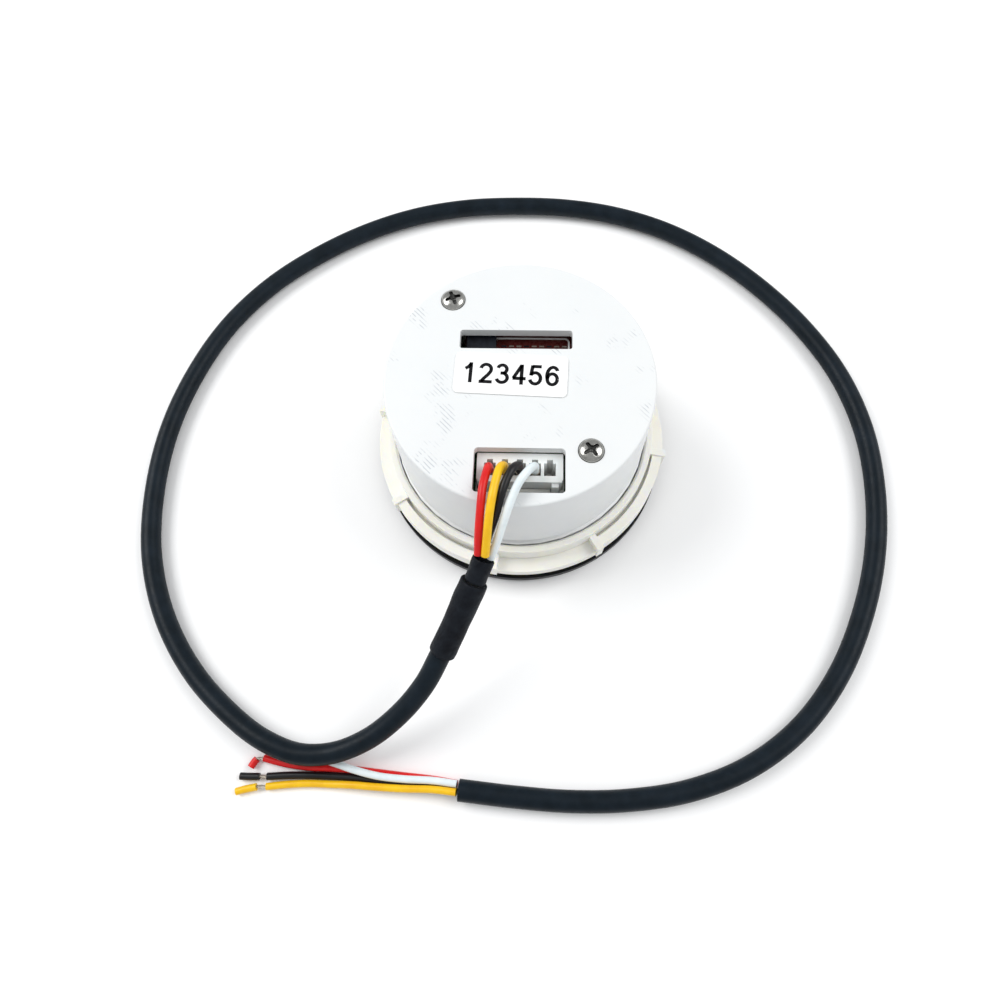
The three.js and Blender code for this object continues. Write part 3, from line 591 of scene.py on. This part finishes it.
MATERIALS = {
    "cover": cover_surface(),
    "ring": ring_surface(),
    "bezel": plain_surface("bezel_black", (0.003, 0.0035, 0.004), (0.006, 0.0065, 0.008), 0.38, 0.06,
                           150.0, 4000.0, Specular_IOR_Level=0.15),
    "window": plain_surface("window_clear", (0.012, 0.014, 0.018), (0.016, 0.018, 0.022), 0.05, 0.02,
                            80.0, 300.0, 0.000005, Coat_Weight=0.6),
    "display": plain_surface("display_dark", (0.05, 0.06, 0.05), (0.06, 0.07, 0.06), 0.15, 0.04, 90.0, 900.0),
    "case": plain_surface("case_white", (0.84, 0.85, 0.85), (0.80, 0.81, 0.80), 0.42, 0.08, 120.0, 2500.0),
    "board_green": board_surface("board_green", (0.05, 0.17, 0.06), (0.09, 0.27, 0.10)),
    "board_red": plain_surface("board_red", (0.055, 0.008, 0.007), (0.09, 0.014, 0.012), 0.28, 0.08,
                               600.0, 2500.0),
    "chip": plain_surface("part_black", (0.004, 0.005, 0.008), (0.010, 0.012, 0.018), 0.45, 0.1,
                          900.0, 5000.0, Specular_IOR_Level=0.2),
    "washer": plain_surface("washer_black", (0.012, 0.012, 0.013), (0.02, 0.02, 0.022), 0.5, 0.08,
                            300.0, 3000.0),
    "screw": metal_surface("screw_nickel", (0.46, 0.455, 0.43), (0.33, 0.325, 0.305), 0.2),
    # Much darker metal for the inside of the screw heads' drive recess: painted shade in the hollow.
    "painted_recess_shade": metal_surface("screw_recess_painted_shade", (0.10, 0.10, 0.095), (0.05, 0.05, 0.048), 0.4),
    "tin": metal_surface("contact_tin", (0.62, 0.58, 0.52), (0.42, 0.37, 0.31), 0.36),
    "paper": plain_surface("label_paper", (0.93, 0.93, 0.92), (0.90, 0.90, 0.895), 0.5, 0.06, 300.0, 2200.0),
    "ink": plain_surface("label_ink", (0.004, 0.004, 0.005), (0.010, 0.010, 0.011), 0.5, 0.05,
                         900.0, 3000.0, Specular_IOR_Level=0.1),
    "nylon": plain_surface("connector_nylon", (0.80, 0.79, 0.74), (0.72, 0.71, 0.64), 0.38, 0.08,
                           300.0, 3000.0, Subsurface_Weight=0.15),
    "plug": plain_surface("plug_nylon", (0.90, 0.90, 0.885), (0.84, 0.84, 0.81), 0.38, 0.08,
                          300.0, 3000.0, Subsurface_Weight=0.1),
    "jacket": jacket_surface(),
    "sleeve": sleeve_surface(),
    "red": wire_surface("pvc_red", (0.72, 0.010, 0.010), (0.60, 0.007, 0.008)),
    "yellow": wire_surface("pvc_yellow", (0.92, 0.54, 0.008), (0.84, 0.45, 0.006)),
    "black": wire_surface("pvc_black", (0.003, 0.003, 0.004), (0.007, 0.007, 0.008)),
    "white": wire_surface("pvc_white", (0.80, 0.86, 0.87), (0.72, 0.79, 0.81)),
}
WIRE_SLOTS = {name: "wire_" + name for name in WIRES}


def finish_piece(piece, material, slot, body, *nodes):
    piece.data.materials.clear()
    piece.data.materials.append(MATERIALS[material])
    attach(piece, body)
    if nodes:
        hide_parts(*nodes)
    return piece


# ---------- camera, floor and light ----------
def make_camera():
    data = bpy.data.cameras.new("camera")
    data.sensor_width = 36.0
    data.lens = 25.9
    data.clip_start = 0.01
    camera = new_object("camera", data)
    heading = Matrix.Rotation(math.radians(7.05), 4, "Z")
    tilt = Matrix.Rotation(math.radians(90 - 70.04), 4, "X")
    roll = Matrix.Rotation(math.radians(-5.58), 4, "Z")
    camera.matrix_world = Matrix.Translation((0.00235, -0.06138, 0.1383)) @ heading @ tilt @ roll
    bpy.context.scene.camera = camera


def make_stage():
    size = 1.5
    corners = [(-size, -size, 0), (size, -size, 0), (size, size, 0), (-size, size, 0)]
    floor = mesh_piece("floor", corners, [[0, 1, 2, 3]], 1.0)
    floor.location.z = cad_low[2] - 0.0001
    material, tree, shader, place = start_material("floor_pale")
    cloud = remap(tree, add_noise(tree, place, 6.0), 0.3, 0.7, 0.0, 1.0)
    set_tones(tree, shader, cloud, (0.955, 0.955, 0.955), (0.965, 0.965, 0.965))
    shader.inputs["Roughness"].default_value = 0.7
    floor.data.materials.append(material)


def area_light(name, place, target, size, power):
    data = bpy.data.lights.new(name, "AREA")
    data.shape = "DISK"
    data.size = size
    data.energy = power
    lamp = new_object(name, data)
    aim = Vector(target) - Vector(place)
    lamp.matrix_world = Matrix.Translation(place) @ aim.to_track_quat("-Z", "Y").to_matrix().to_4x4()


def make_light():
    world = bpy.data.worlds.new("studio")
    world.use_nodes = True
    background = world.node_tree.nodes["Background"]
    background.inputs["Color"].default_value = (0.97, 0.985, 1.0, 1)
    background.inputs["Strength"].default_value = 0.6
    bpy.context.scene.world = world
    area_light("key", (-0.45, 0.14, 0.50), (0, 0, 0.01), 0.45, 2.7)
    area_light("fill", (0.45, 0.10, 0.50), (0, 0, 0.01), 0.45, 1.9)
    bpy.context.scene.view_settings.view_transform = "Standard"


# ---------- cable ----------
def sleeve_stations(length, radius, wall, mouth_depth, tail_radius):
    """Radii along an open-mouthed sleeve: down inside the mouth, over the lip, then along the outside."""
    bore = radius - wall
    stations = [(mouth_depth, 0.05), (mouth_depth, bore * 0.92), (0.12, bore), (0.0, bore + 0.3 * wall)]
    stations += [(0.0, radius - 0.25 * wall), (0.12, radius)]
    steps = 24
    for i in range(1, steps):
        share = i / steps
        swell = 0.02 * math.sin(2.2 * math.pi * share)
        stations.append((0.12 + (length - 0.24) * share, radius * (1 + swell)))
    stations += [(length - 0.12, radius * 0.99), (length, radius - 0.5 * wall), (length, tail_radius)]
    return stations


def make_cable():
    for name in WIRES:
        route = smooth_route(LEAD_ROUTES[name])
        lead = round_wires(f"wire_{name}", [route], LEAD_R)
        finish_piece(lead, name, WIRE_SLOTS[name], "plug", f"lead_{name}")

    inner = smooth_route(INNER_SLEEVE_ROUTE)
    length = length_of(inner) / MM
    inner_sleeve = sweep("sleeve_inner", inner, sleeve_stations(length + 0.3, INNER_SLEEVE_R, 0.3, 1.0, 1.2),
                         wobble=0.05, scale=500.0)
    finish_piece(inner_sleeve, "sleeve", "sleeve_black", "plug", "inner_sleeve")
    outer = smooth_route(OUTER_SLEEVE_ROUTE)
    length = length_of(outer) / MM
    outer_sleeve = sweep("sleeve_outer", outer, sleeve_stations(length, OUTER_SLEEVE_R, 0.4, 0.3, JACKET_R),
                         wobble=0.035, scale=380.0)
    finish_piece(outer_sleeve, "sleeve", "sleeve_black", "plug", "outer_sleeve")

    for name in WIRES:
        route = smooth_route(TAIL_ROUTES[name])
        tail = round_wires(f"bare_end_{name}", [route], WIRE_R)
        finish_piece(tail, name, WIRE_SLOTS[name], "plug", f"tail_{name}")
        slug_route = smooth_route(SLUG_ROUTES[name])
        slug = round_wires(f"cut_end_{name}", [slug_route], WIRE_R)
        finish_piece(slug, name, WIRE_SLOTS[name], "plug", f"slug_{name}")
        strand = make_strands(name, route[-1], slug_route[0])

    route = smooth_route(JACKET_ROUTE)
    jacket = round_wires("jacket", [route], JACKET_R)
    finish_piece(jacket, "jacket", "jacket_black", "plug", "cable_jacket")


def make_strands(name, start, end):
    """Seven tinned strands, twisted, between the insulation and the cut end left on them."""
    along = (end - start).normalized()
    side = along.cross(Vector((0, 0, 1))).normalized()
    lift = side.cross(along)
    lines = []
    for i in range(7):
        points = []
        for j in range(9):
            share = j / 8
            a = 2 * math.pi * i / 6 + 2.0 * share
            out = (side * math.cos(a) + lift * math.sin(a)) * (STRAND_SPREAD * MM if i else 0.0)
            points.append(start.lerp(end, share) + out)
        lines.append(points)
    strand = round_wires(f"strands_{name}", lines, STRAND_R, 3)
    return finish_piece(strand, "tin", "contact_tin", "plug", f"strand_{name}")


# ---------- rear cover, label and screws ----------
def make_cover():
    edge = 0.45
    inside = TOP - COVER_SKIN
    rim = [(COVER_TOP_R - edge + edge * math.sin(a), TOP - edge + edge * math.cos(a))
           for a in (math.radians(90 * i / 5) for i in range(6))]
    foot = COVER_LOW.z
    profile = [(0, inside), (COVER_BORE_R, inside), (COVER_BORE_R, foot), (COVER_FOOT_R - 0.2, foot),
               (COVER_FOOT_R, foot + 0.2)] + rim[::-1] + [(0, TOP)]
    cover = lathe("cover", profile, 256)
    slot = rounded_outline(SLOT["x"], SLOT["y"], SLOT["length"], SLOT["width"], 0.5)
    combine(cover, prism("cut", slot, inside - 1, TOP + 1), "DIFFERENCE")
    cutout = rounded_outline(CUTOUT["x"], CUTOUT["y"], CUTOUT["length"], CUTOUT["width"], 0.7)
    combine(cover, prism("cut", cutout, inside - 1, TOP + 1), "DIFFERENCE")
    seat = TOP - COUNTERBORE
    for x, y in SCREW_PLACES:
        bore = [(0, inside - 1), (1.3, inside - 1), (1.3, seat), (SCREW_HEAD_R + 0.1, seat),
                (SCREW_HEAD_R + 0.12, TOP + 1), (0, TOP + 1)]
        combine(cover, lathe("cut", bore, 64, (x, y)), "DIFFERENCE")
    soften(cover, 0.12, 2, 50)
    smooth(cover, 30)
    return finish_piece(cover, "cover", "cover_plastic", "body", "rear_cover")


def stroke_points(stroke):
    points = []
    for step in stroke:
        if len(step) == 2:
            points.append(Vector(step))
            continue
        x, y, rx, ry, start, end = step
        for i in range(21):
            a = math.radians(start + (end - start) * i / 20)
            points.append(Vector((x + rx * math.cos(a), y + ry * math.sin(a))))
    return points


def printed_number(z):
    """Flat printed digits, each stroke a ribbon with square ends."""
    points = []
    faces = []
    half = DIGIT["stroke"] / 2
    width = DIGIT["width"]
    height = DIGIT["height"]
    for i, character in enumerate(DIGIT["shown"]):
        left = (i - len(DIGIT["shown"]) / 2) * DIGIT["pitch"] + (DIGIT["pitch"] - width) / 2
        for stroke in DIGIT_STROKES[character]:
            line = [Vector((left + p.x * width, (p.y - 0.5) * height)) for p in stroke_points(stroke)]
            for k, point in enumerate(line):
                along = (line[min(k + 1, len(line) - 1)] - line[max(k - 1, 0)]).normalized()
                side = Vector((-along.y, along.x)) * half
                points += [(*(point - side), z), (*(point + side), z)]
                if k:
                    n = len(points)
                    faces.append([n - 4, n - 2, n - 1, n - 3])
    return mesh_piece("printed_numbers", points, faces)


def make_label():
    middle = (LABEL_LOW + LABEL_HIGH) / 2
    outline = rounded_outline(0, 0, LABEL["length"], LABEL["width"], LABEL["corner"])
    label = prism("sticker", outline, LABEL_LOW.z, LABEL_HIGH.z)
    soften(label, 0.05, 2, 50)
    turn = Matrix.Rotation(math.radians(LABEL["turn"]), 4, "Z")
    place = Matrix.Translation((middle.x * MM, middle.y * MM, 0)) @ turn
    label.data.transform(place)
    smooth(label, 40)
    finish_piece(label, "paper", "label_paper", "body", "number_label")
    printed = printed_number(LABEL_HIGH.z + 0.01)
    printed.data.transform(place)
    finish_piece(printed, "ink", "label_paper", "body")


def make_screws():
    seat = TOP - COUNTERBORE + 0.05
    head = 1.4
    top = seat + head
    for number, (x, y) in enumerate(SCREW_PLACES, 1):
        dome = [(SCREW_HEAD_R * math.cos(a), seat + 0.55 + (head - 0.55) * math.sin(a))
                for a in (math.radians(10 * i) for i in range(9))]
        profile = [(0, seat - 9.0), (0.9, seat - 7.6), (0.9, seat), (SCREW_HEAD_R, seat)] + dome + [(0, top)]
        screw = lathe(f"screw_{number}", profile, 96, (x, y))
        centre = Matrix.Translation((x * MM, y * MM, 0))
        for quarter in range(4):
            turn = math.radians(22 + 90 * quarter + 14 * (number - 1))
            lobe = prism("cut", rounded_outline(0.78, 0, 1.3, 0.64, 0.3), top - 0.75, top + 1)
            lobe.data.transform(centre @ Matrix.Rotation(turn, 4, "Z"))
            combine(screw, lobe, "DIFFERENCE")
        pit = [(0, top - 1.0), (0.3, top - 0.9), (0.62, top - 0.5), (0.7, top + 0.6), (0, top + 0.6)]
        combine(screw, lathe("cut", pit, 32, (x, y)), "DIFFERENCE")
        soften(screw, 0.05, 2, 40)
        smooth(screw, 30)
        finish_piece(screw, "screw", "screw_steel", "body", f"cover_screw_{number}")
        # Faces deep in the drive recess get the darker metal, painted shade where the hollow is shaded.
        screw.data.materials.append(MATERIALS["painted_recess_shade"])
        for face in screw.data.polygons:
            out = math.hypot(face.center.x / MM - x, face.center.y / MM - y)
            if out < 1.35 and face.center.z / MM < top - 0.14 - 0.1 * out:
                face.material_index = 1


# ---------- lock ring, washer and bezel ----------
def make_ring():
    low = RING_LOW.z
    high = RING_HIGH.z
    profile = [(RING_BORE_R, low), (RING_NECK_R, low), (RING_NECK_R, RING_RIM_LOW),
               (RING_RIM_R, RING_RIM_LOW), (RING_RIM_R, RING_RIM_TOP), (RING_COLLAR_R, RING_RIM_TOP),
               (RING_COLLAR_R, high), (RING_MOUTH_R, high), (RING_BORE_R, high - 0.5)]
    ring = lathe("ring", profile, 240)
    span = 360 / RING_SECTORS
    for i in range(RING_SECTORS):
        start = RING_FIRST_DEG + span * i - RING_LOW_DEG / 2
        shelf = sector("shelf", RING_RIM_R - 0.8, RING_LOW_R, start, RING_LOW_DEG,
                       RING_RIM_LOW, RING_RIM_TOP, 28)
        combine(ring, shelf, "UNION")
        grip = sector("grip", RING_GRIP_IN_R, RING_GRIP_R, start + RING_LOW_DEG, span - RING_LOW_DEG,
                      RING_RIM_LOW + 0.4, RING_GRIP_TOP, 32)
        combine(ring, grip, "UNION")
        for angle in (start, start + RING_LOW_DEG):
            rib = block("rib", (RING_COLLAR_R - 0.4, -RING_RIB_HALF, RING_RIM_LOW + 0.1),
                        (RING_RIB_R, RING_RIB_HALF, RING_RIB_TOP), angle)
            combine(ring, rib, "UNION")
    soften(ring, 0.3, 3, 40)
    smooth(ring, 40)
    return finish_piece(ring, "ring", "ring_plastic", "ring", "lock_ring")


def make_washer():
    radius, low, high, edge = WASHER.values()
    profile = [(RING_BORE_R, low), (radius - edge, low), (radius, low + edge),
               (radius, high - edge), (radius - edge, high), (RING_BORE_R, high)]
    washer = smooth(lathe("washer", profile, 192))
    finish_piece(washer, "washer", "washer_nylon", "washer", "slip_washer")


def make_bezel():
    outer = BEZEL_HIGH.x
    top = BEZEL_HIGH.z
    lower = [(outer - 0.5 + 0.5 * math.sin(a), 0.5 - 0.5 * math.cos(a)) for a in
             (math.radians(90 * i / 6) for i in range(7))]
    upper = [(outer - 0.2 + 0.2 * math.cos(a), top - 0.2 + 0.2 * math.sin(a)) for a in
             (math.radians(90 * i / 4) for i in range(5))]
    profile = [(BEZEL_OPENING_R + 0.15, 0.0)] + lower + upper
    profile += [(BEZEL_POCKET_R, top), (BEZEL_POCKET_R, BEZEL_LIP), (BEZEL_OPENING_R, BEZEL_LIP),
                (BEZEL_OPENING_R, 0.12)]
    bezel = smooth(lathe("bezel", profile, 256))
    finish_piece(bezel, "bezel", "bezel_plastic", "body", "front_bezel")


# ---------- inside the slot ----------
def make_radio_board():
    low, high = RADIO_LOW, RADIO_HIGH
    board = block("slot_board", low, high)
    soften(board, 0.1, 2)
    finish_piece(smooth(board), "board_red", "board_red", "body", "radio_board")
    z = high.z
    module = block("slot_module", CHIP_LOW, CHIP_HIGH)
    soften(module, 0.15, 3)
    finish_piece(smooth(module), "chip", "part_black", "body", "radio_module")
    x, y, length, width, corner, line = SLOT_BORDER.values()
    border = prism("silk_border", rounded_outline(x, y, length, width, corner), z - 0.02, z + 0.06)
    inner = rounded_outline(x, y, length - 2 * line, width - 2 * line, corner - 0.25)
    combine(border, prism("cut", inner, z - 1, z + 1), "DIFFERENCE")
    finish_piece(border, "paper", "board_red", "body")
    for i in range(SLOT_PADS["count"]):
        x = SLOT_PADS["first"] + SLOT_PADS["pitch"] * i
        pad = block(f"slot_pad_{i + 1}", (x, SLOT_PADS["low_y"], z - 0.01),
                    (x + SLOT_PADS["length"], SLOT_PADS["high_y"], z + 0.12))
        soften(pad, 0.04, 1)
        finish_piece(pad, "tin" if i % 3 else "chip", "contact_tin", "body")


# ---------- connector ----------
def make_header():
    low, high = HEADER_LOW, HEADER_HIGH
    header = block("header", low, high)
    reach_x = PLUG_HALF_LENGTH + 0.15
    reach_y = PLUG_HALF_WIDTH + 0.15
    hollow = block("cut", (PLUG_X - reach_x, PLUG_Y - reach_y, low.z + 0.8),
                   (PLUG_X + reach_x, PLUG_Y + reach_y, high.z + 1))
    combine(header, hollow, "DIFFERENCE")
    for side in (-1, 1):
        x = PLUG_X + KEY_OFFSET * side
        keyway = block("cut", (x - 0.75, low.y - 1, low.z + 1.4), (x + 0.75, PLUG_Y, high.z + 1))
        combine(header, keyway, "DIFFERENCE")
    soften(header, 0.1, 2)
    finish_piece(smooth(header), "nylon", "connector_nylon", "body", "board_header")


def make_plug():
    low, high = PLUG_LOW, PLUG_HIGH
    back_y = PLUG_Y - PLUG_HALF_WIDTH
    front_y = PLUG_Y + PLUG_HALF_WIDTH
    plug = block("plug", (low.x, back_y, low.z), (high.x, front_y, high.z))
    collar = block("collar", (low.x - 0.18, back_y + 0.4, HEADER_HIGH.z + 0.05),
                   (high.x + 0.18, PLUG_Y + 2.72, high.z))
    combine(plug, collar, "UNION")
    for side in (-1, 1):
        x = PLUG_X + KEY_OFFSET * side
        key = block("key", (x - 0.6, back_y - 0.7, low.z + 0.75), (x + 0.6, back_y + 0.5, high.z - 0.5))
        combine(plug, key, "UNION")
    for x in PIN_XS:
        cavity = block("cut", (x - 0.975, CAVITY_Y - 1.1, low.z - 1), (x + 0.975, CAVITY_Y + 1.1, high.z + 1))
        combine(plug, cavity, "DIFFERENCE")
        latch = block("cut", (x - 0.5, CAVITY_Y, low.z + 3), (x + 0.5, CAVITY_Y + 1.75, high.z + 1))
        combine(plug, latch, "DIFFERENCE")
    soften(plug, 0.07, 2)
    finish_piece(smooth(plug), "plug", "connector_nylon", "plug", "plug_housing")


def make_crimps():
    for name, x in zip(WIRES, PIN_XS):
        low, high = box_of(f"crimp_{name}")
        contact = block(f"contact_{name}", low, (high.x, high.y, high.z - 2.4))
        socket = block("cut", (x - 0.5, CAVITY_Y - 0.5, low.z - 1), (x + 0.5, CAVITY_Y + 0.5, high.z - 2.9))
        combine(contact, socket, "DIFFERENCE")
        bore = WIRE_R + 0.02
        profile = [(bore, high.z - 2.5), (bore + 0.15, high.z - 2.5), (bore + 0.15, high.z + 0.6),
                   (bore, high.z + 0.6)]
        barrel = lathe("barrel", profile, 32, (x, CAVITY_Y))
        combine(contact, barrel, "UNION")
        seam = block("cut", (x - 0.12, CAVITY_Y - 1.2, high.z - 2.3), (x + 0.12, CAVITY_Y, high.z + 1))
        combine(contact, seam, "DIFFERENCE")
        soften(contact, 0.04, 1)
        finish_piece(smooth(contact), "tin", "contact_tin", "plug", f"crimp_{name}")


# ---------- CAD nodes that keep their own shape ----------
KEPT_NODES = {
    "front_window": "window", "display_panel": "display", "display_frame": "case", "housing_barrel": "case",
    "front_board": "board_green", "rear_board": "board_green", "board_link": "chip", "radio_link": "chip",
}
KEPT_NODES.update({f"header_pin_{i + 1}": "tin" for i in range(len(PIN_XS))})


def dress_kept_nodes():
    for node, material in KEPT_NODES.items():
        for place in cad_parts[node].material_slots:
            place.material = MATERIALS[material]


make_camera()
make_cable()
make_stage()
make_light()
make_cover()
make_label()
make_screws()
make_ring()
make_washer()
make_bezel()
make_radio_board()
make_header()
make_plug()
make_crimps()
dress_kept_nodes()
